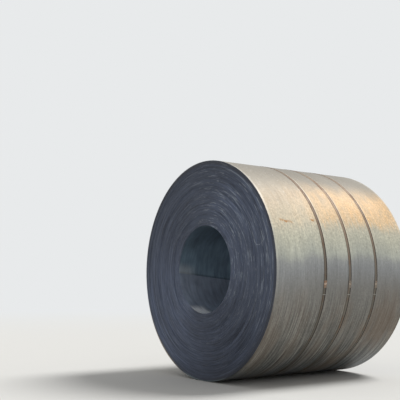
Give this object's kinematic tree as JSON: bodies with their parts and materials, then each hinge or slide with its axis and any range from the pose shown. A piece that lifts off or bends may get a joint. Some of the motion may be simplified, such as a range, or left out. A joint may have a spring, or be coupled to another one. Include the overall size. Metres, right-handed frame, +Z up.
{
  "type": "steel coil",
  "caption": "Coil of hot-rolled steel strip wound round an open bore, lying on its side and held by steel straps with crimped seals.",
  "frame": {"origin": "on the floor, under the middle of the coil", "axes": "+Y along the coil's axis, from the end seen in the picture to the other end; +Z up; -Y out of the end seen in the picture"},
  "size_m": [1.9088, 1.5549, 1.9056],
  "materials": {
    "coil_steel": "hot-rolled mill scale with light rust",
    "strap_steel": "dark waxed steel with light rust",
    "seal_steel": "plated steel with light rust"
  },
  "bodies": {
    "root": {"coil": "coil_steel", "strap_near": "strap_steel", "strap_middle": "strap_steel", "strap_far": "strap_steel", "strap_seal_near": "seal_steel", "strap_seal_middle": "seal_steel", "strap_seal_far": "seal_steel"}
  },
  "joints": []
}
